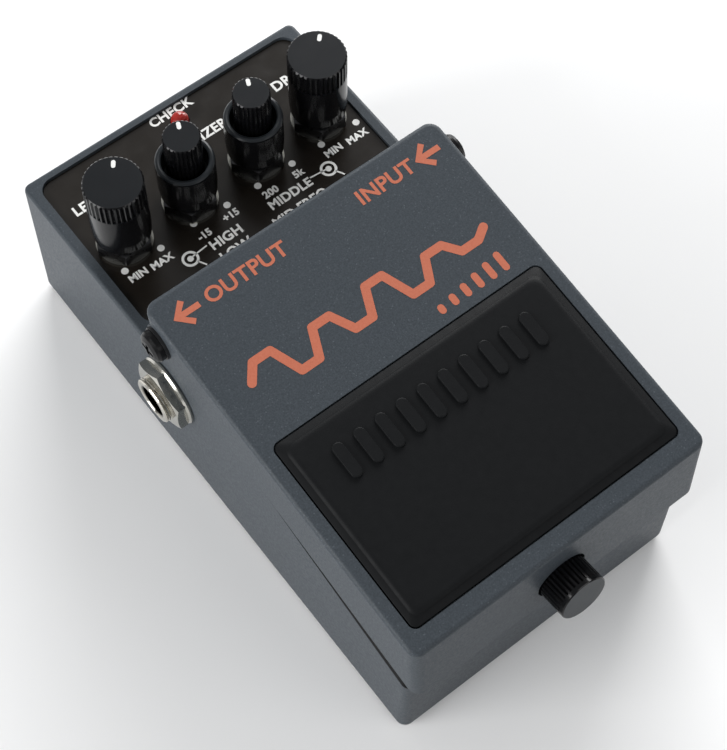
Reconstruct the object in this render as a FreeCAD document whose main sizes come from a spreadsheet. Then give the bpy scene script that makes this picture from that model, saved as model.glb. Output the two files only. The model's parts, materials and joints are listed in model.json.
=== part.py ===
"""Compact floor effects pedal: die-cast case, hinged pedal plate, knob deck, jacks and electronics.

Frame: millimetres, +Z up, +Y from the player's foot towards the knobs, +X to the player's right.
The origin is the centre of the rubber base's underside.
"""
import FreeCAD, Part
import math
import os
import re
import Sketcher
from FreeCAD import Placement, Rotation, Vector

doc = FreeCAD.newDocument("effects_pedal")
sheet = doc.addObject("Spreadsheet::Sheet", "Dims")

# Driving dimensions. A name ending in _y or _z is a place in the pedal's frame.
DIMENSIONS = {
    # Case
    "base_pad_thick": 1.5,
    "cover_thick": 1.0,
    "case_half_width": 32.6,
    "case_half_length": 60.5,
    "case_corner": 2.0,
    "case_top_rounding": 0.8,
    "block_height": 46.0,
    "case_draft": 0.9,
    "wall": 2.3,
    "rim_z": 37.9,
    "panel_floor_z": 36.6,
    "deck_thick": 2.4,
    "ledge_front_z": 25.0,
    "ledge_hinge_z": 43.0,
    "step_z": 42.8,
    "bridge_z": 45.0,
    "step_rear_y": 16.5,
    "tray_floor_z": 20.0,
    "tray_ceiling_z": 18.0,
    "tray_rear_y": -0.5,
    "upstand_half_width": 30.1,
    "upstand_wall": 2.5,
    "upstand_front_y": -55.5,
    "upstand_front_z": 38.0,
    "upstand_top_z": 47.0,
    "clear_z": 60.0,
    "full_width": 80.0,
    # Hinge and jacks share one station along the case
    "hinge_y": 11.3,
    "hinge_z": 49.0,
    "ear_radius": 3.5,
    "jack_z": 29.3,
    "jack_bore": 3.25,
    "jack_thread": 4.75,
    "jack_tip_x": 36.5,
    "jack_seat_x": 32.3,
    "jack_washer_radius": 7.4,
    "jack_washer_thick": 0.8,
    "jack_nut_thick": 1.9,
    "jack_block_x": 18.8,
    "jack_block_half_x": 11.3,
    "jack_block_half_y": 7.4,
    "jack_block_half_z": 7.0,
    "thread_pitch": 0.55,
    "thread_depth": 0.22,
    # Printed panel on the knob deck
    "panel_half_width": 29.6,
    "panel_front_y": 20.35,
    "panel_rear_y": 58.1,
    "panel_corner": 2.75,
    "panel_thick": 0.6,
    "panel_gap": 0.15,
    # Pedal plate
    "plate_half_width": 32.6,
    "plate_thick": 2.0,
    "plate_front_y": -61.5,
    "plate_front_z": 47.1,
    "plate_rear_y": 16.2,
    "plate_rear_z": 55.5,
    "skirt_front_y": -62.8,
    "skirt_front_z": 28.5,
    "skirt_rear_y": 14.9,
    "skirt_rear_z": 45.0,
    "plate_front_corner": 2.2,
    "plate_rear_corner": 2.5,
    "plate_top_rounding": 1.0,
    "tread_half_width": 29.8,
    "tread_front": 3.8,
    "tread_rear": 43.9,
    "tread_corner": 1.6,
    "tread_recess": 1.0,
    "tread_gap": 0.3,
    "tread_proud": 0.7,
    # Knobs
    "knob_y": 38.5,
    "knob_outer_x": 22.9,
    "knob_inner_x": 7.8,
    "knob_radius": 5.68,
    "knob_base_z": 41.2,
    "knob_top_z": 58.0,
    "dual_ring_z": 51.4,
    "dual_top_z": 59.0,
    "dual_inner_radius": 3.58,
    "shaft_radius": 3.0,
    "inner_shaft_radius": 2.0,
    "fit": 0.05,
    "bushing_radius": 3.5,
    "pointer_width": 0.88,
    "pointer_length": 1.7,
    "pointer_depth": 0.15,
    "knob_socket": 3.5,
    "inner_knob_socket": 4.0,
    "cup_depth": 5.4,
    "shaft_end_z": 26.0,
    "inner_shaft_end_z": 24.5,
    # Thumbscrew
    "thumb_face_y": -68.24,
    "thumb_face_z": 36.4,
    "thumb_tilt": 9.0,
    "thumb_radius": 4.9,
    "thumb_length": 7.1,
    "thumb_recess_radius": 5.3,
    "thumb_recess_depth": 5.3,
    "thumb_shaft_end": 17.2,
    "thumb_clip": 11.2,
    "slot_half_width": 3.4,
    "slot_floor_z": 28.0,
    # Hinge screw's shoulder and the bush that turns on it
    "shoulder_radius": 2.0,
    "bush_radius": 2.6,
    "bush_flange": 3.4,
    # Battery, lying across the tray
    "battery_left_x": -26.8,
    "battery_length": 48.5,
    "battery_front_y": -28.5,
    "battery_rear_y": -2.0,
    "battery_height": 17.5,
    # Foot switch and spring
    "foot_y": -42.0,
    "stand_height": 13.0,
    "button_radius": 3.5,
    "switch_x": 14.0,
    "spring_x": -14.0,
    "spring_radius": 4.2,
    "spring_wire": 0.55,
    # Fasteners under the case
    "boss_x": 27.0,
    "boss_y": 55.2,
    "post_radius": 3.3,
    "post_hole": 1.5,
    "pillar_radius": 2.6,
    "pillar_hole": 1.2,
    # Electronics
    "board_z": 6.0,
    "board_thick": 1.6,
    "board_half_width": 28.0,
    "board_half_length": 50.0,
    "pot_board_z": 20.4,
    "pot_half_width": 6.0,
    "pot_half_length": 6.3,
    "led_x": 0.9,
    "led_y": 54.2,
    "led_hole": 1.95,
    "led_radius": 1.8,
    "led_base_z": 33.2,
    "led_flange": 0.45,
    "led_shoulder_z": 37.7,
    "led_top_z": 39.5,
    "inlet_x": 14.0,
    "inlet_z": 14.5,
    "inlet_radius": 5.5,
}
for row, (alias, number) in enumerate(DIMENSIONS.items(), start=1):
    sheet.set(f"A{row}", alias)
    sheet.set(f"B{row}", str(number))
    sheet.setAlias(f"B{row}", alias)
doc.recompute()


# ---------------------------------------------------------------- helpers

def expr(text):
    """The expression with every dimension's name pointing at its cell."""
    def point(match):
        word = match.group()
        return "Dims." + word if word in DIMENSIONS else word
    return re.sub(r"[a-z_][a-z_0-9]*", point, str(text))


def num(text):
    """The number that an expression of dimensions gives now."""
    return float(sheet.evalExpression(expr(text)))


def bind(thing, prop, text):
    thing.setExpression(prop, expr(text))


def new_body(label):
    body = doc.addObject("PartDesign::Body", label)
    body.Label = label
    return body


def origin_plane(body, role):
    return next(part for part in body.Origin.OriginFeatures if part.Role == role)


def sketch_on(body, name, plane="XY_Plane", offset="0", base=None, tilt=0.0):
    """Sketch on one of the body's own origin planes, moved along the normal or to a tilted base."""
    sketch = body.newObject("Sketcher::SketchObject", name)
    sketch.AttachmentSupport = [(origin_plane(body, plane), "")]
    sketch.MapMode = "FlatFace"
    if base is None:
        bind(sketch, "AttachmentOffset.Base.z", offset)
    else:
        sketch.AttachmentOffset = Placement(Vector(), Rotation(Vector(1, 0, 0), tilt))
        for axis, text in zip("xyz", base):
            bind(sketch, f"AttachmentOffset.Base.{axis}", text)
    return sketch


def dimension(sketch, kind, text, *refs):
    index = sketch.addConstraint(Sketcher.Constraint(kind, *refs, num(text)))
    bind(sketch, f"Constraints[{index}]", text)


def polygon(sketch, points):
    """Closed outline; both coordinates of every corner are bound to the sheet."""
    corners = [Vector(num(a), num(b), 0) for a, b in points]
    first = sketch.GeometryCount
    count = len(corners)
    for i in range(count):
        sketch.addGeometry(Part.LineSegment(corners[i], corners[(i + 1) % count]), False)
    for i in range(count):
        following = first + (i + 1) % count
        sketch.addConstraint(Sketcher.Constraint("Coincident", first + i, 2, following, 1))
    for i, (a, b) in enumerate(points):
        dimension(sketch, "DistanceX", a, -1, 1, first + i, 1)
        dimension(sketch, "DistanceY", b, -1, 1, first + i, 1)
    return sketch


def circle(sketch, x, y, radius):
    first = sketch.GeometryCount
    centre = Vector(num(x), num(y), 0)
    sketch.addGeometry(Part.Circle(centre, Vector(0, 0, 1), num(radius)), False)
    dimension(sketch, "DistanceX", x, -1, 1, first, 3)
    dimension(sketch, "DistanceY", y, -1, 1, first, 3)
    dimension(sketch, "Radius", radius, first)
    return sketch


def round_rect(sketch, left, right, low, high, radius):
    """Rectangle between two x and two y values, with four equal corner arcs."""
    x0, x1, y0, y1, r = (num(v) for v in (left, right, low, high, radius))
    first = sketch.GeometryCount
    ends = [((x0 + r, y0), (x1 - r, y0)), ((x1, y0 + r), (x1, y1 - r)),
            ((x1 - r, y1), (x0 + r, y1)), ((x0, y1 - r), (x0, y0 + r))]
    centres = [(x1 - r, y0 + r), (x1 - r, y1 - r), (x0 + r, y1 - r), (x0 + r, y0 + r)]
    for i in range(4):
        sketch.addGeometry(Part.LineSegment(Vector(*ends[i][0], 0), Vector(*ends[i][1], 0)), False)
        corner = Part.Circle(Vector(*centres[i], 0), Vector(0, 0, 1), r)
        start = -math.pi / 2 + i * math.pi / 2
        sketch.addGeometry(Part.ArcOfCircle(corner, start, start + math.pi / 2), False)
    for i in range(4):
        line = first + 2 * i
        arc = line + 1
        following = first + (2 * i + 2) % 8
        sketch.addConstraint(Sketcher.Constraint("Tangent", line, 2, arc, 1))
        sketch.addConstraint(Sketcher.Constraint("Tangent", arc, 2, following, 1))
        sketch.addConstraint(Sketcher.Constraint("Horizontal" if i % 2 == 0 else "Vertical", line))
        if i:
            sketch.addConstraint(Sketcher.Constraint("Equal", first + 1, arc))
    dimension(sketch, "Radius", radius, first + 1)
    dimension(sketch, "DistanceY", low, -1, 1, first, 1)
    dimension(sketch, "DistanceX", right, -1, 1, first + 2, 1)
    dimension(sketch, "DistanceY", high, -1, 1, first + 4, 1)
    dimension(sketch, "DistanceX", left, -1, 1, first + 6, 1)
    return sketch


def extrude(body, kind, sketch, length, midplane=False, reverse=False):
    """Pad or Pocket of a length from the sheet. A Pocket has to take material away."""
    before = body.Shape.Volume if not body.Shape.isNull() else 0.0
    feature = body.newObject("PartDesign::" + kind, sketch.Name + "_" + kind.lower())
    feature.Profile = sketch
    feature.SideType = "Symmetric" if midplane else "One side"
    feature.Reversed = reverse
    bind(feature, "Length", length)
    doc.recompute()
    if kind == "Pocket" and not feature.Shape.Volume < before - 1e-6:
        raise RuntimeError(feature.Name + " takes nothing away")
    return feature


def fillet(body, radius, wanted, name):
    """Round the edges of the tip that a test picks."""
    tip = body.Tip
    names = [f"Edge{i}" for i, edge in enumerate(tip.Shape.Edges, start=1) if wanted(edge)]
    feature = body.newObject("PartDesign::Fillet", name)
    feature.Base = (tip, names)
    bind(feature, "Radius", radius)
    doc.recompute()
    return feature


def direction(edge):
    return (edge.Vertexes[-1].Point - edge.Vertexes[0].Point).normalize()


def revolve(body, outline, name):
    """Turned shape about the body's own Z axis from (radius, height) corners."""
    sketch = polygon(sketch_on(body, name, "XZ_Plane"), outline)
    feature = body.newObject("PartDesign::Revolution", name + "_turning")
    feature.Profile = sketch
    feature.ReferenceAxis = (sketch, ["V_Axis"])
    feature.Angle = 360
    doc.recompute()
    return feature


def turned(label, outline):
    body = new_body(label)
    revolve(body, outline, label + "_outline")
    return body


def grooves(body, count, radius, low, high, width=0.7, depth=0.32):
    """Straight grip grooves round the outside between two heights."""
    sketch = sketch_on(body, body.Name + "_groove", "XY_Plane", high)
    edge = f"{radius} + 0.3"
    polygon(sketch, [(f"{radius} - {depth}", "0"), (edge, f"{-width}"), (edge, f"{width}")])
    cut = extrude(body, "Pocket", sketch, f"({high}) - ({low})")
    pattern = body.newObject("PartDesign::PolarPattern", body.Name + "_grooves")
    pattern.Originals = [cut]
    pattern.Axis = (sketch, ["N_Axis"])
    pattern.Angle = 360
    pattern.Occurrences = count
    body.Tip = pattern
    doc.recompute()


def place(thing, x="0", y="0", z="0", axis=Vector(0, 0, 1), angle=0.0):
    """Placement with its base bound to the sheet and a fixed turn."""
    thing.Placement = Placement(Vector(num(x), num(y), num(z)), Rotation(axis, angle))
    for letter, text in zip("xyz", (x, y, z)):
        bind(thing, f"Placement.Base.{letter}", text)
    return thing


def box(name, x0, x1, y0, y1, z0, z1):
    thing = doc.addObject("Part::Box", name)
    for prop, low, high in (("Length", x0, x1), ("Width", y0, y1), ("Height", z0, z1)):
        bind(thing, prop, f"({high}) - ({low})")
    return place(thing, x0, y0, z0)


def cylinder(name, radius, length, x="0", y="0", z="0", axis=Vector(0, 0, 1), angle=0.0):
    thing = doc.addObject("Part::Cylinder", name)
    bind(thing, "Radius", radius)
    bind(thing, "Height", length)
    return place(thing, x, y, z, axis, angle)


def boolean(kind, label, base, tools):
    """Part::MultiFuse of all the shapes, or Part::Cut of the base by the fused tools."""
    if kind == "Fuse":
        thing = doc.addObject("Part::MultiFuse", label)
        thing.Shapes = [base] + tools
        thing.Refine = True
    else:
        thing = doc.addObject("Part::Cut", label)
        thing.Base = base
        thing.Tool = tools[0] if len(tools) == 1 else boolean("Fuse", label + "_tools", tools[0], tools[1:])
    thing.Label = label
    return thing


def group(label, members):
    """Separate like solids that share one node."""
    thing = doc.addObject("Part::Compound", label)
    thing.Links = members
    thing.Label = label
    return thing


ALONG_X = (Vector(0, 1, 0), 90.0)
ALONG_MINUS_X = (Vector(0, 1, 0), -90.0)
SIDES = (("left", "-1", ALONG_MINUS_X), ("right", "1", ALONG_X))
CORNERS = [(sx, sy) for sx in ("-1", "1") for sy in ("-1", "1")]
# Degrees clockwise from the rear at which each pointer stands in the rest pose
POINTER_TURN = {"level": 36.0, "treble": 24.0, "mid": 24.0, "drive": 44.0}
KNOB_STATIONS = ("-knob_outer_x", "-knob_inner_x", "knob_inner_x", "knob_outer_x")
FRONT_BOARD_SCREWS = (("-22", "-44"), ("22", "-44"))
REAR_BOARD_SCREWS = (("-24", "26"), ("24", "26"))
BOARD_SCREWS = FRONT_BOARD_SCREWS + REAR_BOARD_SCREWS
COVER_TOP = "base_pad_thick + cover_thick"
UNDERSIDE_FRONT_Z = "plate_front_z - plate_thick * 1.006"
SLOPE = "((plate_rear_z - plate_front_z) / (plate_rear_y - plate_front_y))"
slope_deg = math.degrees(math.atan(num(SLOPE)))


def plate_underside(y):
    """Height of the plate's underside above the floor at a y."""
    return f"({UNDERSIDE_FRONT_Z} + ({y} - plate_front_y) * {SLOPE})"


# ---------------------------------------------------------------- case

def make_chassis():
    """Die-cast case: open below, battery tray in front, knob deck behind, hinge ears between."""
    body = new_body("chassis")
    outline = sketch_on(body, "case_outline", offset=COVER_TOP)
    round_rect(outline, "-case_half_width", "case_half_width",
               "-case_half_length", "case_half_length", "case_corner")
    block = extrude(body, "Pad", outline, "block_height")
    block.TaperAngle = -num("case_draft")
    doc.recompute()

    ledge_slope = "((ledge_hinge_z - ledge_front_z) / (hinge_y - 3.3 + case_half_length))"
    above = sketch_on(body, "case_top_line", "YZ_Plane")
    polygon(above, [("-70", f"ledge_front_z - (70 - case_half_length) * {ledge_slope}"),
                    ("hinge_y - 3.3", "ledge_hinge_z"), ("step_rear_y", "step_z"),
                    ("step_rear_y + 3", "rim_z"), ("70", "rim_z"), ("70", "clear_z"), ("-70", "clear_z")])
    extrude(body, "Pocket", above, "full_width", midplane=True)
    fillet(body, "case_top_rounding", lambda e: e.BoundBox.ZMin > 15 and abs(direction(e).z) < 0.9
           and not (abs(direction(e).x) > 0.99 and e.CenterOfMass.y < 50
                    and e.CenterOfMass.y > -50), "case_top_rounding")

    # Walls that stand inside the pedal plate, and the ears of its hinge
    upstand = sketch_on(body, "upstand", offset="tray_floor_z")
    round_rect(upstand, "-upstand_half_width", "upstand_half_width",
               "upstand_front_y", "step_rear_y", "1.5")
    extrude(body, "Pad", upstand, "upstand_top_z - tray_floor_z")
    trim = sketch_on(body, "upstand_top_line", "YZ_Plane")
    polygon(trim, [("-58", "upstand_front_z"), ("upstand_front_y + 5", "upstand_front_z"),
                   ("hinge_y - 3.6", "bridge_z"), ("step_rear_y + 2", "bridge_z"),
                   ("step_rear_y + 2", "clear_z"), ("-58", "clear_z")])
    extrude(body, "Pocket", trim, "full_width", midplane=True)
    for side, offset in (("left", "-upstand_half_width"),
                         ("right", "upstand_half_width - upstand_wall")):
        ear = sketch_on(body, side + "_ear", "YZ_Plane", offset)
        polygon(ear, [("hinge_y - ear_radius", "step_z - 2"), ("hinge_y + ear_radius", "step_z - 2"),
                      ("hinge_y + ear_radius", "hinge_z"), ("hinge_y - ear_radius", "hinge_z")])
        extrude(body, "Pad", ear, "upstand_wall")
        crown = circle(sketch_on(body, side + "_ear_crown", "YZ_Plane", offset),
                       "hinge_y", "hinge_z", "ear_radius")
        extrude(body, "Pad", crown, "upstand_wall")

    # Hollows: the battery tray from above, the electronics bay from below
    tray = sketch_on(body, "battery_tray", offset="clear_z")
    round_rect(tray, "-upstand_half_width + upstand_wall", "upstand_half_width - upstand_wall",
               "upstand_front_y + 2.2", "tray_rear_y", "2")
    extrude(body, "Pocket", tray, "clear_z - tray_floor_z")
    inner_y = "case_half_length - wall"
    bays = [("under_tray", f"-({inner_y})", inner_y, "upstand_half_width", "tray_ceiling_z"),
            ("under_deck", "tray_rear_y + wall", inner_y, "upstand_half_width",
             "panel_floor_z - deck_thick"),
            ("jack_bay", "tray_rear_y + wall", "step_rear_y + 2.7", "upstand_half_width",
             "panel_floor_z"),
            ("hinge_bay", "tray_rear_y + wall", "step_rear_y - wall",
             "upstand_half_width - upstand_wall", "step_z - deck_thick")]
    for name, low, high, half, ceiling in bays:
        bay = sketch_on(body, name, offset=COVER_TOP)
        round_rect(bay, f"-({half})", half, low, high, "0.4")
        extrude(body, "Pocket", bay, f"{ceiling} - ({COVER_TOP})", reverse=True)

    # Posts for the cover's screws in the corners, and for the circuit board
    posts = sketch_on(body, "front_posts", offset=COVER_TOP)
    rear_posts = sketch_on(body, "rear_posts", offset=COVER_TOP)
    for sign in ("-1", "1"):
        circle(posts, f"{sign} * boss_x", "-boss_y", "post_radius")
        circle(rear_posts, f"{sign} * boss_x", "boss_y", "post_radius")
    extrude(body, "Pad", posts, f"tray_ceiling_z + 0.5 - ({COVER_TOP})")
    extrude(body, "Pad", rear_posts, f"panel_floor_z - deck_thick + 0.5 - ({COVER_TOP})")
    board_top = "board_z + board_thick"
    pillars = sketch_on(body, "front_pillars", offset=board_top)
    rear_pillars = sketch_on(body, "rear_pillars", offset=board_top)
    for x, y in FRONT_BOARD_SCREWS:
        circle(pillars, x, y, "pillar_radius")
    for x, y in REAR_BOARD_SCREWS:
        circle(rear_pillars, x, y, "pillar_radius")
    extrude(body, "Pad", pillars, f"tray_ceiling_z + 0.5 - ({board_top})")
    extrude(body, "Pad", rear_pillars, f"panel_floor_z - deck_thick + 0.5 - ({board_top})")
    screw_holes = sketch_on(body, "cover_screw_holes", offset=COVER_TOP)
    for sx, sy in CORNERS:
        circle(screw_holes, f"{sx} * boss_x", f"{sy} * boss_y", "post_hole")
    extrude(body, "Pocket", screw_holes, "9", reverse=True)
    board_holes = sketch_on(body, "board_screw_holes", offset=board_top)
    for x, y in BOARD_SCREWS:
        circle(board_holes, x, y, "pillar_hole")
    extrude(body, "Pocket", board_holes, "6", reverse=True)

    # Knob deck: recess for the printed panel, then its holes
    recess = sketch_on(body, "panel_recess", offset="rim_z + 1")
    round_rect(recess, "-panel_half_width - panel_gap", "panel_half_width + panel_gap",
               "panel_front_y - panel_gap", "panel_rear_y + panel_gap", "panel_corner + panel_gap")
    extrude(body, "Pocket", recess, "rim_z + 1 - panel_floor_z")
    holes = sketch_on(body, "deck_holes", offset="rim_z")
    for x in KNOB_STATIONS:
        circle(holes, x, "knob_y", "bushing_radius + 0.1")
    circle(holes, "led_x", "led_y", "led_hole")
    extrude(body, "Pocket", holes, "rim_z - panel_floor_z + deck_thick + 1")

    # Side holes for jacks and hinge screws, the rear power inlet, the thumbscrew's slot
    jack_holes = circle(sketch_on(body, "jack_holes", "YZ_Plane"), "hinge_y", "jack_z",
                        "jack_thread + 0.1")
    extrude(body, "Pocket", jack_holes, "full_width", midplane=True)
    hinge_holes = circle(sketch_on(body, "hinge_holes", "YZ_Plane"), "hinge_y", "hinge_z", "1.5")
    extrude(body, "Pocket", hinge_holes, "full_width", midplane=True)
    inlet = circle(sketch_on(body, "inlet_hole", "XZ_Plane", "-case_half_length - 1"),
                   "inlet_x", "inlet_z", "inlet_radius + 0.1")
    extrude(body, "Pocket", inlet, "wall + 1.5", reverse=True)
    slot = sketch_on(body, "thumbscrew_slot", "XZ_Plane", "-(upstand_front_y - 1)")
    polygon(slot, [("-slot_half_width", "slot_floor_z"), ("slot_half_width", "slot_floor_z"),
                   ("slot_half_width", "45"), ("-slot_half_width", "45")])
    extrude(body, "Pocket", slot, "4")

    # Pin that centres the return spring
    pin = circle(sketch_on(body, "spring_pin", offset="tray_floor_z - 0.5"),
                 "spring_x", "foot_y", "3.3")
    extrude(body, "Pad", pin, "4.5")
    return body


def make_bottom():
    """Steel cover and the rubber sheet under it, with their holes."""
    made = []
    plates = [("bottom_cover", "base_pad_thick", "cover_thick", "0.15", "1.7"),
              ("base_pad", "0", "base_pad_thick", "0.6", "3.3")]
    for label, floor, thick, inset, hole in plates:
        body = new_body(label)
        sketch = sketch_on(body, label + "_outline", offset=floor)
        round_rect(sketch, f"-case_half_width + {inset}", f"case_half_width - {inset}",
                   f"-case_half_length + {inset}", f"case_half_length - {inset}",
                   f"case_corner - {inset}")
        for sx, sy in CORNERS:
            circle(sketch, f"{sx} * boss_x", f"{sy} * boss_y", hole)
        extrude(body, "Pad", sketch, thick)
        made.append(body)
    return made


def screw(name, head_radius, head_height, shank_radius, shank_length):
    """Cross-head screw: seat at z = 0, head above it, shank below it."""
    body = turned(name, [("0", f"-{shank_length}"), (f"{shank_radius} - 0.3", f"-{shank_length}"),
                         (str(shank_radius), f"0.4 - {shank_length}"), (str(shank_radius), "0"),
                         (str(head_radius), "0"), (str(head_radius), f"{head_height} * 0.45"),
                         (f"{head_radius} * 0.86", f"{head_height} * 0.8"),
                         (f"{head_radius} * 0.6", str(head_height)), ("0", str(head_height))])
    cross_recess(body, name, head_height, 0.6 * head_radius, 0.14 * head_radius)
    return body


def cross_recess(body, name, top, reach, half):
    cross = sketch_on(body, name + "_cross", offset=str(top))
    a, b = str(round(reach, 3)), str(round(half, 3))
    polygon(cross, [(f"-{a}", f"-{b}"), (f"-{b}", f"-{b}"), (f"-{b}", f"-{a}"), (b, f"-{a}"),
                    (b, f"-{b}"), (a, f"-{b}"), (a, b), (b, b), (b, a), (f"-{b}", a),
                    (f"-{b}", b), (f"-{a}", b)])
    extrude(body, "Pocket", cross, "0.8")


def make_case_screws():
    """Screws that hold the cover to the case, and the circuit board to its pillars."""
    cover_screws = []
    board_screws = []
    for index, (sx, sy) in enumerate(CORNERS):
        one = screw(f"cover_screw_{index}", 2.8, 1.2, 1.5, 8)
        place(one, f"{sx} * boss_x", f"{sy} * boss_y", "base_pad_thick", Vector(1, 0, 0), 180)
        cover_screws.append(one)
    for index, (x, y) in enumerate(BOARD_SCREWS):
        one = screw(f"board_screw_{index}", 2.2, 1.4, 1.2, 6)
        board_screws.append(place(one, x, y, "board_z", Vector(1, 0, 0), 180))
    return [group("cover_screws", cover_screws), group("board_screws", board_screws)]


def make_control_panel():
    """Thin printed panel let into the knob deck."""
    body = new_body("control_panel")
    sketch = sketch_on(body, "control_panel_outline", offset="panel_floor_z")
    round_rect(sketch, "-panel_half_width", "panel_half_width", "panel_front_y", "panel_rear_y",
               "panel_corner")
    for x in KNOB_STATIONS:
        circle(sketch, x, "knob_y", "bushing_radius + 0.1")
    circle(sketch, "led_x", "led_y", "led_hole")
    extrude(body, "Pad", sketch, "panel_thick")
    return body


# ---------------------------------------------------------------- electronics

def make_boards():
    """Main circuit board, the small board under the controls, chips and capacitors."""
    board = new_body("main_board")
    sketch = sketch_on(board, "main_board_outline", offset="board_z")
    round_rect(sketch, "-board_half_width", "board_half_width",
               "-board_half_length", "board_half_length", "1")
    for x, y in BOARD_SCREWS:
        circle(sketch, x, y, "1.3")
    extrude(board, "Pad", sketch, "board_thick")

    pot_board = new_body("pot_board")
    sketch = sketch_on(pot_board, "pot_board_outline", offset="pot_board_z")
    polygon(sketch, [("-29", "30"), ("29", "30"), ("29", "46"), ("9", "46"), ("9", "57.5"),
                     ("-9", "57.5"), ("-9", "46"), ("-29", "46")])
    extrude(pot_board, "Pad", sketch, "board_thick")
    top = "board_z + board_thick"
    chips = []
    for index, (x, y) in enumerate(((-20, -28), (-6, -28), (8, -28), (-13, -8), (2, -8), (17, -8))):
        chips.append(box(f"chip_{index}", f"{x}", f"{x + 9.8}", f"{y}", f"{y + 6.4}",
                         top, f"{top} + 3.4"))
    cans = []
    for index in range(8):
        column, row = index % 4, index // 4
        can_x, can_y = -16 + 11 * column, -46 + 9 * row
        cans.append(cylinder(f"can_{index}", "2.5", "7", f"{can_x}", f"{can_y}", top))
    return [board, pot_board, group("board_chips", chips), group("board_capacitors", cans)]


def make_pot(label, x, dual):
    """Potentiometer: square housing under the deck and the threaded bushing through it."""
    floor = "pot_board_z + board_thick"
    deck = "panel_floor_z - deck_thick"
    housing = box(label + "_housing", f"{x} - pot_half_width", f"{x} + pot_half_width",
                  "knob_y - pot_half_length", "knob_y + pot_half_length", floor, deck)
    bushing = cylinder(label + "_bushing", "bushing_radius", f"knob_base_z - 0.2 - ({deck})",
                       x, "knob_y", deck)
    bore = cylinder(label + "_bore", "shaft_radius + fit", "20", x, "knob_y", "shaft_end_z - 0.2")
    tools = [bore]
    if dual:
        tools.append(cylinder(label + "_well", "inner_shaft_radius + fit", "2", x, "knob_y",
                              "inner_shaft_end_z - 0.2"))
    return boolean("Cut", label, boolean("Fuse", label + "_solid", housing, [bushing]), tools)


def make_pots():
    """The four potentiometers with their washers and nuts."""
    made = [make_pot("level_pot", "-knob_outer_x", False),
            make_pot("treble_bass_pot", "-knob_inner_x", True),
            make_pot("mid_pot", "knob_inner_x", True),
            make_pot("drive_pot", "knob_outer_x", False)]
    nut_height = "knob_base_z - 0.4 - (panel_floor_z + panel_thick + 0.5)"
    nuts = []
    washers = []
    for index, x in enumerate(KNOB_STATIONS):
        washers.append(place(turned(f"pot_washer_{index}", ring("bushing_radius + 0.1", "5.5", "0.5")),
                             x, "knob_y", "panel_floor_z + panel_thick"))
        nuts.append(place(hex_nut(f"pot_nut_{index}", 5.0, "bushing_radius", nut_height, 0.3),
                          x, "knob_y", "panel_floor_z + panel_thick + 0.5"))
    return made + [group("pot_nuts", nuts), group("pot_washers", washers)]


def ring(inner, outer, height):
    return [(inner, "0"), (outer, "0"), (outer, height), (inner, height)]


def hex_nut(name, half_flats, bore, height, bevel):
    """Hexagonal nut standing on z = 0, its corners turned down at the top."""
    corner = half_flats / math.cos(math.pi / 6)
    body = new_body(name)
    sketch = sketch_on(body, name + "_hexagon")
    polygon(sketch, [(f"{corner * math.cos(i * math.pi / 3):.4f}",
                      f"{corner * math.sin(i * math.pi / 3):.4f}") for i in range(6)])
    circle(sketch, "0", "0", bore)
    extrude(body, "Pad", sketch, height)
    outline = polygon(sketch_on(body, name + "_bevel", "XZ_Plane"),
                      [(f"{half_flats}", height), (f"{corner + 0.2}", height),
                       (f"{corner + 0.2}", f"{height} - {bevel}")])
    groove = body.newObject("PartDesign::Groove", name + "_bevel_cut")
    groove.Profile = outline
    groove.ReferenceAxis = (outline, ["V_Axis"])
    groove.Angle = 360
    doc.recompute()
    return body


def make_led():
    """Domed status light through the panel and the spacer it stands on."""
    dome = "led_top_z - led_shoulder_z"
    led = turned("status_led", [
        ("0", "led_base_z"), ("led_radius + led_flange", "led_base_z"),
        ("led_radius + led_flange", "led_base_z + 1"), ("led_radius", "led_base_z + 1"),
        ("led_radius", "led_shoulder_z"), ("led_radius * 0.92", f"led_top_z - 0.61 * ({dome})"),
        ("led_radius * 0.71", f"led_top_z - 0.29 * ({dome})"),
        ("led_radius * 0.38", f"led_top_z - 0.08 * ({dome})"), ("0", "led_top_z")])
    spacer = turned("led_spacer", ring("led_radius - 0.5", "led_radius + led_flange",
                                       "led_base_z - pot_board_z - board_thick"))
    place(spacer, "led_x", "led_y", "pot_board_z + board_thick")
    return [place(led, "led_x", "led_y"), spacer]


# ---------------------------------------------------------------- jacks and power inlet

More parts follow.
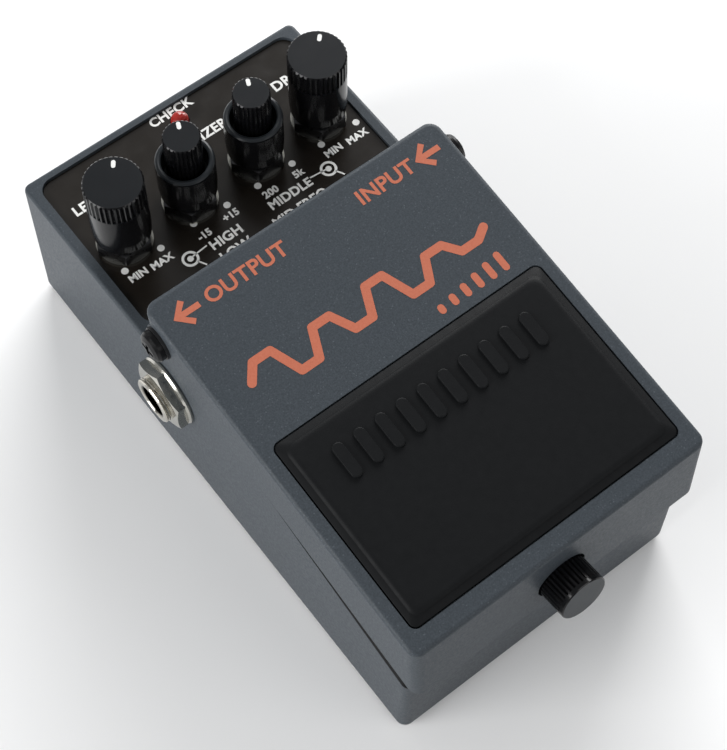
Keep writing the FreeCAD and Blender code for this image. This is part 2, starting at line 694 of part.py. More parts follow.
def make_jack(name, sign, turn):
    """6.35 mm jack along X: plastic housing inside, bushing, washer and nut outside.

    Two grooves near the bushing's tip stand for its thread.
    """
    middle = f"{sign} * jack_block_x"
    housing = box(name + "_block", f"{middle} - jack_block_half_x", f"{middle} + jack_block_half_x",
                  "hinge_y - jack_block_half_y", "hinge_y + jack_block_half_y",
                  "jack_z - jack_block_half_z", "jack_z + jack_block_half_z")
    bore_start = f"{sign} * 12"
    bore = cylinder(name + "_bore", "jack_bore", "25", bore_start, "hinge_y", "jack_z", *turn)
    body = boolean("Cut", name + "_housing", housing, [bore])
    tip = "jack_tip_x - upstand_half_width"
    outline = [("jack_bore", "0"), ("jack_thread", "0")]
    for groove in (2, 1):
        bottom = f"{tip} - {groove} * thread_pitch"
        outline += [("jack_thread", f"{bottom} - 0.15"), ("jack_thread - thread_depth", bottom),
                    ("jack_thread", f"{bottom} + 0.15")]
    outline += [("jack_thread", f"{tip} - 0.25"), ("jack_thread - 0.25", tip),
                ("jack_bore + 0.35", tip), ("jack_bore", f"{tip} - 0.35")]
    sleeve = turned(name + "_bushing", outline)
    place(sleeve, f"{sign} * upstand_half_width", "hinge_y", "jack_z", *turn)
    washer = turned(name + "_washer", [
        ("jack_thread + 0.05", "0"), ("jack_washer_radius", "0"),
        ("jack_washer_radius", "jack_washer_thick / 2"),
        ("jack_washer_radius - 0.3", "jack_washer_thick"), ("jack_thread + 0.05", "jack_washer_thick")])
    place(washer, f"{sign} * jack_seat_x", "hinge_y", "jack_z", *turn)
    nut = hex_nut(name + "_nut", 6.35, "jack_thread", "jack_nut_thick", 0.5)
    place(nut, f"{sign} * (jack_seat_x + jack_washer_thick)", "hinge_y", "jack_z", *turn)
    return [body, sleeve, washer, nut]


def make_inlet():
    """Power inlet in the rear wall: square housing, round nose, centre pin."""
    back = (Vector(1, 0, 0), -90.0)
    housing = box("inlet_block", "inlet_x - 6", "inlet_x + 6", "45.5", "case_half_length - wall",
                  "inlet_z - 5", "inlet_z + 5")
    nose = cylinder("inlet_nose", "inlet_radius", "wall + 0.4",
                    "inlet_x", "case_half_length - wall", "inlet_z", *back)
    socket = cylinder("inlet_socket", "2.85", "10",
                      "inlet_x", "case_half_length - 9.4", "inlet_z", *back)
    shell = boolean("Fuse", "inlet_shell", housing, [nose])
    inlet = boolean("Cut", "power_inlet", shell, [socket])
    pin = turned("power_inlet_pin", [("0", "0"), ("1.05", "0"), ("1.05", "8.2"), ("0.7", "8.7"),
                                     ("0", "8.7")])
    place(pin, "inlet_x", "case_half_length - 9.4", "inlet_z", *back)
    return [inlet, pin]


# ---------------------------------------------------------------- battery, switch, spring

def make_battery():
    """Nine-volt block with its two studs to the right, and the snap connector over them."""
    floor = "tray_floor_z"
    end = "battery_left_x + battery_length"
    block = new_body("battery")
    sketch = round_rect(sketch_on(block, "battery_outline", "YZ_Plane", "battery_left_x"),
                        "battery_front_y", "battery_rear_y", floor, f"{floor} + battery_height", "2")
    extrude(block, "Pad", sketch, "battery_length")
    for index, (radius, y) in enumerate((("2.8", "-21.6"), ("3.4", "-8.9"))):
        stud = circle(sketch_on(block, f"battery_stud_{index}", "YZ_Plane", end),
                      y, f"{floor} + battery_height / 2", radius)
        extrude(block, "Pad", stud, "2.4")
    snap = new_body("battery_snap")
    sketch = round_rect(sketch_on(snap, "battery_snap_outline", "YZ_Plane", f"{end} + 2.45"),
                        "battery_front_y + 2", "battery_rear_y - 2",
                        f"{floor} + 4", f"{floor} + 13.5", "3")
    extrude(snap, "Pad", sketch, "2.9")
    return [block, snap]


def make_foot_switch():
    """Push switch on a bent steel stand, its button under the plate's bumper."""
    x, y, floor = "switch_x", "foot_y", "tray_floor_z"
    step = f"{floor} + stand_height"
    stand = new_body("switch_bracket")
    profile = sketch_on(stand, "switch_bracket_profile", "XZ_Plane", f"-({y} - 6)")
    polygon(profile, [(f"{x} - 12", floor), (f"{x} - 7", floor), (f"{x} - 7", step),
                      (f"{x} + 7", step), (f"{x} + 7", floor), (f"{x} + 12", floor),
                      (f"{x} + 12", f"{floor} + 1"), (f"{x} + 8", f"{floor} + 1"),
                      (f"{x} + 8", f"{step} + 1"), (f"{x} - 8", f"{step} + 1"),
                      (f"{x} - 8", f"{floor} + 1"), (f"{x} - 12", f"{floor} + 1")])
    extrude(stand, "Pad", profile, "12", reverse=True)
    block = box("switch_block", f"{x} - 6", f"{x} + 6", f"{y} - 6", f"{y} + 6",
                f"{step} + 1", f"{step} + 5.3")
    well = cylinder("switch_well", "button_radius + fit", "2", x, y, f"{step} + 3.5")
    housing = boolean("Cut", "switch_housing", block, [well])
    button = turned("switch_button", [("0", "0"), ("button_radius", "0"), ("button_radius", "4.6"),
                                      ("button_radius - 0.4", "5"), ("0", "5")])
    place(button, x, y, f"{step} + 4")
    return [stand, housing, button]


def make_return_spring():
    """Open helical spring between the tray floor and the plate's underside."""
    wire = num("spring_wire")
    low = num("tray_floor_z") + wire + 0.05
    high = num(plate_underside("foot_y")) - 1.2
    turns = 6
    helix = Part.makeHelix((high - low) / turns, high - low, num("spring_radius"))
    circle_wire = Part.Wire(Part.Circle(Vector(num("spring_radius"), 0, 0),
                                        Vector(0, 1, 0), wire).toShape())
    spring = doc.addObject("Part::Feature", "return_spring")
    spring.Label = "return_spring"
    spring.Shape = Part.Wire(helix.Edges).makePipeShell([circle_wire], True, True)
    spring.Placement = Placement(Vector(num("spring_x"), num("foot_y"), low), Rotation())
    return spring


# ---------------------------------------------------------------- pedal plate

def make_plate():
    """Die-cast pedal plate: a shallow tray upside down, hinged near its rear end."""
    body = new_body("pedal_plate")
    side = polygon(sketch_on(body, "plate_side", "YZ_Plane"),
                   [("skirt_front_y", "skirt_front_z"), ("skirt_rear_y", "skirt_rear_z"),
                    ("plate_rear_y", "plate_rear_z"), ("plate_front_y", "plate_front_z")])
    extrude(body, "Pad", side, "2 * plate_half_width", midplane=True)

    def upright(e):
        return abs(direction(e).z) > 0.9
    fillet(body, "plate_front_corner", lambda e: upright(e) and e.CenterOfMass.y < 0, "front_corners")
    fillet(body, "plate_rear_corner", lambda e: upright(e) and abs(e.CenterOfMass.x) > 32.5
           and e.CenterOfMass.y > 14, "rear_corners")

    def on_top(e):
        def over(point):
            line = num("plate_front_z") + (point.y - num("plate_front_y")) * num(SLOPE)
            return abs(point.z - line) < 0.02
        return all(over(v.Point) for v in e.Vertexes)
    fillet(body, "plate_top_rounding", on_top, "top_rounding")

    # Hinge seats on the outside, then the hollow inside
    for side_name, offset in (("left", "-plate_half_width"),
                              ("right", "plate_half_width - plate_thick")):
        seat = circle(sketch_on(body, side_name + "_hinge_seat", "YZ_Plane", offset),
                      "hinge_y", "hinge_z", "3.7")
        extrude(body, "Pad", seat, "plate_thick")
    hollow = polygon(sketch_on(body, "plate_hollow", "YZ_Plane"),
                     [("-60.7", "20"), ("plate_front_y + 2.2", plate_underside("plate_front_y + 2.2")),
                      ("30", plate_underside("30")), ("30", "20")])
    extrude(body, "Pocket", hollow, "2 * (plate_half_width - plate_thick)", midplane=True)
    lip = polygon(sketch_on(body, "rear_lip", "YZ_Plane"),
                  [("plate_rear_y - 2.7", "plate_rear_z - 1.4"), ("plate_rear_y - 2.9", "hinge_z + 1"),
                   ("plate_rear_y - 1", "hinge_z + 1"), ("plate_rear_y - 0.7", "plate_rear_z - 1.9")])
    extrude(body, "Pad", lip, "53", midplane=True)

    # Recess for the rubber tread, drawn on the sloping top
    recess = sketch_on(body, "tread_recess_outline", base=("0", "plate_front_y", "plate_front_z"),
                       tilt=slope_deg)
    round_rect(recess, "-tread_half_width", "tread_half_width", "tread_front", "tread_rear",
               "tread_corner")
    extrude(body, "Pocket", recess, "tread_recess")

    # Thumbscrew: boss inside the front skirt, round recess outside, plain hole through both
    tilt = -num("thumb_tilt")
    for name, kind, depth, radius, length in (
            ("thumb_boss", "Pad", "7.5", "4", "3.5"),
            ("thumb_recess", "Pocket", "2", "thumb_recess_radius", "thumb_recess_depth"),
            ("thumb_hole", "Pocket", "2", "inner_shaft_radius + fit", "11")):
        sketch = sketch_on(body, name, "XZ_Plane", tilt=tilt, base=(
            "0", f"thumb_face_z - {depth} * sin(thumb_tilt)",
            f"-(thumb_face_y + {depth} * cos(thumb_tilt))"))
        circle(sketch, "0", "0", radius)
        extrude(body, kind, sketch, length, reverse=kind == "Pad")

    # Spring post and bumper seat under the plate, hinge holes through the skirts
    for name, x, radius, drop in (("spring_post", "spring_x", "3.2", "2.8"),
                                  ("bumper_seat", "switch_x", "4", "1.1")):
        post = circle(sketch_on(body, name, offset=f"{plate_underside('foot_y')} - {drop}"),
                      x, "foot_y", radius)
        extrude(body, "Pad", post, f"{drop} + 0.5")
    holes = circle(sketch_on(body, "bush_holes", "YZ_Plane"), "hinge_y", "hinge_z", "bush_radius")
    extrude(body, "Pocket", holes, "full_width", midplane=True)
    return body


def make_plate_rubber():
    """Tread pad in the plate's recess, and the bumper that meets the foot switch."""
    tread = new_body("tread_pad")
    floor = sketch_on(tread, "tread_outline", tilt=slope_deg, base=(
        "0", f"plate_front_y + tread_recess * sin({slope_deg:.5f})",
        f"plate_front_z - tread_recess * cos({slope_deg:.5f})"))
    round_rect(floor, "-tread_half_width + tread_gap", "tread_half_width - tread_gap",
               "tread_front + tread_gap", "tread_rear - tread_gap", "tread_corner - tread_gap")
    extrude(tread, "Pad", floor, "tread_recess + tread_proud")

    bumper = turned("switch_bumper", [("0", "0"), ("3.4", "0"), ("3.8", "0.4"), ("3.8", "1.7"),
                                      ("0", "1.7")])
    place(bumper, "switch_x", "foot_y", f"{plate_underside('foot_y')} - 2.8")
    return [tread, bumper]


def make_hinge():
    """Shoulder screws fixed in the ears, and the flanged bushes that turn on them."""
    screws = []
    bushes = []
    seat = "plate_half_width + 0.6 + fit"
    for side, sign, turn in SIDES:
        one = turned(f"hinge_screw_{side}", [
            ("0", f"upstand_half_width - 2.6 - ({seat})"),
            ("1.5", f"upstand_half_width - 2.6 - ({seat})"),
            ("1.5", f"upstand_half_width - ({seat})"),
            ("shoulder_radius", f"upstand_half_width - ({seat})"),
            ("shoulder_radius", "0"), ("3.1", "0"), ("3.1", "0.9"), ("2.8", "1.5"), ("2", "1.9"), ("0", "2")])
        cross_recess(one, f"hinge_screw_{side}", 2.0, 1.7, 0.42)
        screws.append(place(one, f"{sign} * ({seat})", "hinge_y", "hinge_z", *turn))
        bush = turned(f"hinge_bush_{side}", [
            ("shoulder_radius + fit", "0"), ("bush_radius", "0"), ("bush_radius", "2.3"),
            ("bush_flange", "2.3"), ("bush_flange", "2.9"), ("shoulder_radius + fit", "2.9")])
        bushes.append(place(bush, f"{sign} * (plate_half_width - 2.3)", "hinge_y", "hinge_z", *turn))
    return [group("hinge_screws", screws), group("hinge_bushings", bushes)]


def make_thumbscrew():
    """Ribbed knob, its steel shaft and the clip that keeps it in the plate, and the case's guide."""
    inward = (Vector(1, 0, 0), -90.0 - num("thumb_tilt"))
    knob = turned("thumbscrew_knob", [
        ("0", "0"), ("thumb_radius - 0.2", "0"), ("thumb_radius", "0.2"),
        ("thumb_radius", "thumb_length - 0.3"), ("thumb_radius - 0.3", "thumb_length"),
        ("inner_shaft_radius", "thumb_length"), ("inner_shaft_radius", "1.5"), ("0", "1.5")])
    grooves(knob, 34, "thumb_radius", "0.9", "thumb_length + 0.2", 0.5, 0.34)
    place(knob, "0", "thumb_face_y", "thumb_face_z", *inward)
    shaft = turned("thumbscrew_shaft", [
        ("0", "1.5"), ("inner_shaft_radius", "1.5"), ("inner_shaft_radius", "thumb_shaft_end - 1.2"),
        ("0.9", "thumb_shaft_end"), ("0", "thumb_shaft_end")])
    place(shaft, "0", "thumb_face_y", "thumb_face_z", *inward)
    clip = turned("thumbscrew_clip", [
        ("inner_shaft_radius", "thumb_clip"), ("3.2", "thumb_clip"),
        ("3.2", "thumb_clip + 0.6"), ("inner_shaft_radius", "thumb_clip + 0.6")])
    place(clip, "0", "thumb_face_y", "thumb_face_z", *inward)
    guide = new_body("thumbscrew_guide")
    outline = sketch_on(guide, "thumbscrew_guide_outline", "XZ_Plane", "-upstand_front_y")
    outer, inner, top = "slot_half_width", "slot_half_width - 1.2", "upstand_front_z - 0.1"
    polygon(outline, [(f"-{outer}", "slot_floor_z"), (outer, "slot_floor_z"), (outer, top),
                      (inner, top), (inner, "slot_floor_z + 1.2"),
                      (f"-({inner})", "slot_floor_z + 1.2"), (f"-({inner})", top),
                      (f"-{outer}", top)])
    extrude(guide, "Pad", outline, "2.2", reverse=True)
    return [knob, shaft, clip, guide]


# ---------------------------------------------------------------- knobs

def pointer_slot(knob, top, middle):
    """Shallow slot in a knob's top, along the knob's own +Y, that holds its white pointer."""
    sketch = sketch_on(knob, knob.Name + "_pointer", "XY_Plane", top)
    round_rect(sketch, "-pointer_width / 2", "pointer_width / 2", f"{middle} - pointer_length / 2",
               f"{middle} + pointer_length / 2", "pointer_width * 0.45")
    extrude(knob, "Pocket", sketch, "pointer_depth")


def make_single_knob(name, x, turn):
    """Grooved one-piece knob and its shaft; its pointer is a turn clockwise from the rear."""
    knob = turned(name + "_knob", [
        ("0", "knob_top_z - knob_socket"), ("shaft_radius", "knob_top_z - knob_socket"),
        ("shaft_radius", "knob_base_z"), ("knob_radius - 0.5", "knob_base_z"),
        ("knob_radius - 0.15", "knob_base_z + 0.5"), ("knob_radius", "knob_base_z + 3"),
        ("knob_radius", "knob_top_z - 0.3"), ("knob_radius - 0.3", "knob_top_z"),
        ("0", "knob_top_z")])
    grooves(knob, 36, "knob_radius", "knob_top_z - 5.2", "knob_top_z + 0.1")
    pointer_slot(knob, "knob_top_z", "knob_radius - 1.75")
    shaft = turned(name + "_shaft", [
        ("0", "shaft_end_z"), ("shaft_radius", "shaft_end_z"),
        ("shaft_radius", "knob_top_z - knob_socket"), ("0", "knob_top_z - knob_socket")])
    place(knob, x, "knob_y", "0", Vector(0, 0, 1), -turn)
    return [knob, place(shaft, x, "knob_y")]


def make_dual_knob(outer_name, inner_name, x, turn):
    """Concentric pair: a cup-topped outer knob on a hollow shaft, a slim knob through it."""
    cup = "dual_ring_z - cup_depth"
    outer = turned(outer_name + "_knob", [
        ("shaft_radius", "knob_base_z"), ("knob_radius - 0.5", "knob_base_z"),
        ("knob_radius - 0.15", "knob_base_z + 0.5"), ("knob_radius", "knob_base_z + 3"),
        ("knob_radius", "dual_ring_z - 0.75"), ("knob_radius - 0.08", "dual_ring_z - 0.4"),
        ("knob_radius - 0.3", "dual_ring_z - 0.12"), ("knob_radius - 0.6", "dual_ring_z"),
        ("knob_radius - 0.95", "dual_ring_z - 0.08"), ("knob_radius - 1.2", "dual_ring_z - 0.32"),
        ("knob_radius - 1.3", "dual_ring_z - 0.65"), ("knob_radius - 1.3", cup),
        ("shaft_radius", cup)])
    tube = turned(outer_name + "_shaft", [
        ("inner_shaft_radius + fit", "shaft_end_z"), ("shaft_radius", "shaft_end_z"), ("shaft_radius", cup),
        ("inner_shaft_radius + fit", cup)])
    inner = turned(inner_name + "_knob", [
        ("0", "dual_top_z - inner_knob_socket"), ("inner_shaft_radius", "dual_top_z - inner_knob_socket"),
        ("inner_shaft_radius", f"{cup} + 0.3"), ("dual_inner_radius", f"{cup} + 0.3"),
        ("dual_inner_radius", "dual_top_z - 0.25"), ("dual_inner_radius - 0.25", "dual_top_z"),
        ("0", "dual_top_z")])
    grooves(inner, 26, "dual_inner_radius", "dual_ring_z - 3", "dual_top_z + 0.1", 0.6, 0.28)
    pointer_slot(inner, "dual_top_z", "dual_inner_radius - 1.18")
    rod = turned(inner_name + "_shaft", [
        ("0", "inner_shaft_end_z"), ("inner_shaft_radius", "inner_shaft_end_z"),
        ("inner_shaft_radius", "dual_top_z - inner_knob_socket"), ("0", "dual_top_z - inner_knob_socket")])
    place(inner, x, "knob_y", "0", Vector(0, 0, 1), -turn)
    return [inner] + [place(part, x, "knob_y") for part in (outer, tube, rod)]


# ---------------------------------------------------------------- assembly and export

nodes = [make_chassis()]
nodes += make_bottom()
nodes += make_case_screws()
nodes.append(make_control_panel())
nodes += make_boards()
nodes += make_pots()
nodes += make_led()
nodes += make_jack("output_jack", "-1", ALONG_MINUS_X)
nodes += make_jack("input_jack", "1", ALONG_X)
nodes += make_inlet()
nodes += make_battery()
nodes += make_foot_switch()
nodes.append(make_return_spring())
nodes.append(make_plate())
nodes += make_plate_rubber()
nodes += make_hinge()
nodes += make_thumbscrew()
nodes += make_single_knob("level", "-knob_outer_x", POINTER_TURN["level"])
nodes += make_single_knob("drive", "knob_outer_x", POINTER_TURN["drive"])
nodes += make_dual_knob("bass", "treble", "-knob_inner_x", POINTER_TURN["treble"])
nodes += make_dual_knob("mid_frequency", "mid", "knob_inner_x", POINTER_TURN["mid"])
doc.recompute()

faults = [f"{thing.Label}: {state}" for thing in doc.Objects for state in thing.State
          if state in ("Invalid", "Error")]
faults += [f"{node.Label}: bad shape" for node in nodes
           if node.Shape.isNull() or not node.Shape.isValid()]
if faults:
    raise RuntimeError("; ".join(faults))

os.makedirs("parts", exist_ok=True)
for node in nodes:
    node.Shape.exportStep(f"parts/{node.Label}.step")
    extent = node.Shape.BoundBox
    print(f"{node.Label:24s} solids {len(node.Shape.Solids)}  volume {node.Shape.Volume:9.1f}  "
          f"x {extent.XMin:7.2f} {extent.XMax:7.2f}  y {extent.YMin:7.2f} {extent.YMax:7.2f}  "
          f"z {extent.ZMin:6.2f} {extent.ZMax:6.2f}")
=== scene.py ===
"""Looks for the effects pedal: materials, panel print, tread rubber, lights and camera."""
import json
import math

import bmesh
import bpy
from mathutils import Matrix, Vector


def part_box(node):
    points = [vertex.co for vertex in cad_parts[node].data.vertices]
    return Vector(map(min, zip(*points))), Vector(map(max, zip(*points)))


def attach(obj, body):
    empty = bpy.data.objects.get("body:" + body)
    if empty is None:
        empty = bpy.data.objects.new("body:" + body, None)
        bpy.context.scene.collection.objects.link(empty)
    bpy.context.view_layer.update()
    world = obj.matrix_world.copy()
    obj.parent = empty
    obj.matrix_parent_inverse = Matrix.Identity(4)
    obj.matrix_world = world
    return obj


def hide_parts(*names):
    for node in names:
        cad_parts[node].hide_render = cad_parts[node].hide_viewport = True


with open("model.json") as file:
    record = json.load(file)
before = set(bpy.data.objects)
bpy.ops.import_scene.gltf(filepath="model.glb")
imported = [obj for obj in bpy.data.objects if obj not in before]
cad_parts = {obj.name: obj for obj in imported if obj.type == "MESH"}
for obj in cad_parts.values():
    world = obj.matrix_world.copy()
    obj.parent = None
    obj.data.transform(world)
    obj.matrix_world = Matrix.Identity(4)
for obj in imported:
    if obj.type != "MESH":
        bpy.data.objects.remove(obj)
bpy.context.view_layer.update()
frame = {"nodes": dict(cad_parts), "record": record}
scene = bpy.context.scene
MM = 0.001

# Places in the CAD that the looks follow, in metres. The ledge is given by a depth and a height
# at each end.
LEDGE_FRONT = (-0.0605, 0.0250)
LEDGE_HINGE = (0.0080, 0.0430)
JACK_AXIS = (0.0, 0.0113, 0.0293)
PLATE_FRONT = Vector((0, -0.0615, 0.0471))
PLATE_REAR = Vector((0, 0.0162, 0.0555))

# Limits between which a mask turns from one side to the other, in metres. The shade and tray limits
# bound the painted shade on the ledge under the plate; the bore limit bounds the painted shade down
# the jack bore.
SHADE_LOWEST = (-0.00080, -0.00068)
SHADE_HIGHEST = (0.00030, 0.00045)
SHADE_REAR = (0.0078, 0.0082)
TRAY_SIDE = (0.02995, 0.03005)
TRAY_FRONT = (-0.05550, -0.05540)
JACK_BORE_SHADE_EDGE = (0.0033, 0.0036)

# Places in mm
SPRING_AXIS = Vector((-14.0, -42.0, 0.0))
KNOB_Y = 38.5


# ---------------------------------------------------------------- materials

class Paint:
    """A Principled material with short calls for the procedural nodes that feed it."""

    def __init__(self, name, metallic, roughness, **fixed):
        self.material = bpy.data.materials.new(name)
        self.material.use_nodes = True
        self.tree = self.material.node_tree
        self.tree.nodes.clear()
        output = self.tree.nodes.new("ShaderNodeOutputMaterial")
        self.shader = self.tree.nodes.new("ShaderNodeBsdfPrincipled")
        self.tree.links.new(self.shader.outputs["BSDF"], output.inputs["Surface"])
        self.shader.inputs["Metallic"].default_value = metallic
        self.shader.inputs["Roughness"].default_value = roughness
        for socket, value in fixed.items():
            self.shader.inputs[socket.replace("_", " ")].default_value = value
        self.coordinates = self.tree.nodes.new("ShaderNodeTexCoord")

    def link(self, source, target):
        self.tree.links.new(source, target)

    def noise(self, scale, detail, stretch=(1, 1, 1)):
        """Noise over the object's own metres, so a scale of 1000 has features of about 1 mm."""
        node = self.tree.nodes.new("ShaderNodeTexNoise")
        node.inputs["Scale"].default_value = scale
        node.inputs["Detail"].default_value = detail
        self.link(self.stretched(stretch), node.inputs["Vector"])
        return node.outputs["Fac"]

    def stretched(self, stretch):
        if stretch == (1, 1, 1):
            return self.coordinates.outputs["Object"]
        mapping = self.tree.nodes.new("ShaderNodeMapping")
        mapping.inputs["Scale"].default_value = stretch
        self.link(self.coordinates.outputs["Object"], mapping.inputs["Vector"])
        return mapping.outputs["Vector"]

    def flakes(self, scale, share):
        """One in so many small cells is a bright flake."""
        cells = self.tree.nodes.new("ShaderNodeTexVoronoi")
        cells.inputs["Scale"].default_value = scale
        self.link(self.coordinates.outputs["Object"], cells.inputs["Vector"])
        split = self.tree.nodes.new("ShaderNodeSeparateColor")
        self.link(cells.outputs["Color"], split.inputs["Color"])
        return self.remap(split.outputs["Red"], 1.0 - share, 1.0, 0.0, 1.0)

    def remap(self, value, low, high, to_low, to_high):
        node = self.tree.nodes.new("ShaderNodeMapRange")
        for socket, number in (("From Min", low), ("From Max", high),
                               ("To Min", to_low), ("To Max", to_high)):
            node.inputs[socket].default_value = number
        self.link(value, node.inputs["Value"])
        return node.outputs["Result"]

    def math(self, operation, *values):
        """Result of one operation on other nodes' outputs."""
        node = self.tree.nodes.new("ShaderNodeMath")
        node.operation = operation
        for socket, value in zip(node.inputs, values):
            self.link(value, socket)
        return node.outputs["Value"]

    def blend(self, factor, first, second):
        """Mix of two colours; either may be a node's output."""
        node = self.tree.nodes.new("ShaderNodeMix")
        node.data_type = "RGBA"
        self.link(factor, node.inputs["Factor"])
        for socket, colour in (("A", first), ("B", second)):
            target = next(i for i in node.inputs if i.name == socket and i.type == "RGBA")
            if isinstance(colour, tuple):
                target.default_value = (*colour, 1.0)
            else:
                self.link(colour, target)
        return next(o for o in node.outputs if o.type == "RGBA")

    def facing(self, direction, start, end):
        """1 on faces that point along one of the object's own directions."""
        node = self.tree.nodes.new("ShaderNodeVectorMath")
        node.operation = "DOT_PRODUCT"
        self.link(self.coordinates.outputs["Normal"], node.inputs[0])
        node.inputs[1].default_value = direction
        return self.remap(node.outputs["Value"], start, end, 0.0, 1.0)

    def distance_from(self, centre, axes):
        """Distance in the object's own metres from a point, along the axes marked 1."""
        source = self.coordinates.outputs["Object"]
        for operation, value in (("SUBTRACT", centre), ("MULTIPLY", axes)):
            node = self.tree.nodes.new("ShaderNodeVectorMath")
            node.operation = operation
            self.link(source, node.inputs[0])
            node.inputs[1].default_value = value
            source = node.outputs["Vector"]
        length = self.tree.nodes.new("ShaderNodeVectorMath")
        length.operation = "LENGTH"
        self.link(source, length.inputs[0])
        return length.outputs["Value"]

    def painted_shade_under_plate(self):
        """Painted shade mask: 1 on the case's sloping ledge and its rounded edge, outside the walls
        of the tray, where the slot under the pedal plate lies in shadow.
        """
        axes = self.tree.nodes.new("ShaderNodeSeparateXYZ")
        self.link(self.coordinates.outputs["Object"], axes.inputs["Vector"])
        width = self.math("ABSOLUTE", axes.outputs["X"])
        depth = axes.outputs["Y"]
        ledge = self.remap(depth, LEDGE_FRONT[0], LEDGE_HINGE[0], LEDGE_FRONT[1], LEDGE_HINGE[1])
        above = self.math("SUBTRACT", axes.outputs["Z"], ledge)
        masks = [self.remap(above, *SHADE_LOWEST, 0.0, 1.0),
                 self.remap(above, *SHADE_HIGHEST, 1.0, 0.0),
                 self.remap(depth, *SHADE_REAR, 1.0, 0.0)]
        inner = self.math("MULTIPLY", self.remap(width, *TRAY_SIDE, 1.0, 0.0),
                          self.remap(depth, *TRAY_FRONT, 0.0, 1.0))
        outside = self.remap(inner, 0.0, 1.0, 1.0, 0.0)
        for mask in masks:
            outside = self.math("MULTIPLY", outside, mask)
        return outside

    def set(self, socket, source):
        self.link(source, self.shader.inputs[socket])

    def bump(self, height, distance, strength):
        node = self.tree.nodes.new("ShaderNodeBump")
        node.inputs["Distance"].default_value = distance
        node.inputs["Strength"].default_value = strength
        self.link(height, node.inputs["Height"])
        self.set("Normal", node.outputs["Normal"])


def case_paint(name, shaded=False):
    """Blue-grey paint with a fine grain, tiny dull flakes and a slight orange peel.

    The shaded kind has painted shade: near black on the ledge that lies under the pedal plate, in the
    slot's shadow.
    """
    paint = Paint(name, 0.0, 0.45, Specular_IOR_Level=0.14)
    grain = paint.remap(paint.noise(3400, 3), 0.36, 0.64, 0.0, 1.0)
    base = paint.blend(grain, (0.043, 0.051, 0.059), (0.057, 0.067, 0.078))
    colour = paint.blend(paint.flakes(5200, 0.03), base, (0.088, 0.101, 0.115))
    if shaded:
        # Painted shade: near black where the ledge lies in the shadowed slot under the pedal plate
        colour = paint.blend(paint.painted_shade_under_plate(), colour, (0.0015, 0.0015, 0.0018))
    paint.set("Base Color", colour)
    paint.set("Roughness", paint.remap(paint.noise(1900, 3), 0.3, 0.7, 0.38, 0.52))
    paint.bump(paint.noise(2200, 3), 0.00003, 0.55)
    return paint.material


def panel_print():
    """Brown-black gloss print."""
    paint = Paint("panel_print", 0.0, 0.2)
    paint.set("Base Color", paint.blend(paint.noise(900, 3), (0.0105, 0.0082, 0.0062),
                                        (0.0150, 0.0120, 0.0092)))
    paint.set("Roughness", paint.remap(paint.noise(260, 3), 0.3, 0.7, 0.17, 0.25))
    paint.bump(paint.noise(1600, 2), 0.000006, 0.3)
    return paint.material


def knob_plastic(name, direction, face_low, face_high, face_roughness=0.34, turn=(0.80, 0.95)):
    """Glossy black sides, and a fine matte face towards one direction."""
    paint = Paint(name, 0.0, 0.2, Specular_IOR_Level=0.24)
    face = paint.facing(direction, *turn)
    side = paint.blend(paint.noise(700, 3), (0.0032, 0.0032, 0.0038), (0.0058, 0.0058, 0.0066))
    grained = paint.blend(paint.noise(3400, 2), face_low, face_high)
    paint.set("Base Color", paint.blend(face, side, grained))
    paint.set("Roughness", paint.math("ADD", paint.remap(face, 0.0, 1.0, 0.15, face_roughness),
                                      paint.remap(paint.noise(300, 2), 0.3, 0.7, 0.0, 0.03)))
    paint.bump(paint.noise(3600, 2), 0.000008, 0.25)
    return paint.material


def plated(name, low, high, roughness, stretch=(1, 1, 1)):
    """Bright plated metal with faint brushing and small stains."""
    paint = Paint(name, 1.0, roughness)
    paint.set("Base Color", paint.blend(paint.noise(420, 4), low, high))
    paint.set("Roughness", paint.remap(paint.noise(1400, 3, stretch), 0.3, 0.7,
                                       roughness * 0.8, roughness * 1.3))
    paint.bump(paint.noise(1800, 2, stretch), 0.000006, 0.3)
    return paint.material


def jack_metal():
    """Plated bushing with painted shade down its bore: near black within the bore about the jacks'
    common axis.
    """
    paint = Paint("jack_metal", 1.0, 0.2)
    radius = paint.distance_from(JACK_AXIS, (0, 1, 1))
    outside = paint.remap(radius, *JACK_BORE_SHADE_EDGE, 0.0, 1.0)
    metal = paint.blend(paint.noise(420, 4), (0.56, 0.53, 0.47), (0.70, 0.67, 0.60))
    # Painted shade: near black inside the bore, plated metal outside it
    paint.set("Base Color", paint.blend(outside, (0.004, 0.004, 0.005), metal))
    paint.set("Roughness", paint.remap(paint.noise(1400, 3), 0.3, 0.7, 0.15, 0.25))
    paint.bump(paint.noise(1800, 2), 0.000006, 0.3)
    return paint.material


def plastic(name, low, high, roughness, grain=2600, depth=0.00003, specular=0.4):
    """Moulded plastic or rubber; grain is the scale of its texture and depth its height."""
    paint = Paint(name, 0.0, roughness, Specular_IOR_Level=specular)
    paint.set("Base Color", paint.blend(paint.noise(700, 3), low, high))
    paint.set("Roughness", paint.remap(paint.noise(500, 3), 0.3, 0.7,
                                       roughness * 0.93, roughness * 1.08))
    paint.bump(paint.noise(grain, 3), depth, 0.5)
    return paint.material


def ink(name, low, high):
    """Matt printing ink."""
    paint = Paint(name, 0.0, 0.45, Specular_IOR_Level=0.3)
    paint.set("Base Color", paint.blend(paint.noise(2200, 3), low, high))
    paint.bump(paint.noise(3000, 2), 0.00001, 0.3)
    return paint.material


def status_lens():
    """Red, slightly clear lens of the status light."""
    paint = Paint("led_red", 0.0, 0.12, Transmission_Weight=0.2, IOR=1.5)
    paint.set("Base Color", paint.blend(paint.noise(600, 2), (0.30, 0.013, 0.010),
                                        (0.44, 0.028, 0.020)))
    paint.set("Roughness", paint.remap(paint.noise(900, 2), 0.3, 0.7, 0.10, 0.2))
    return paint.material


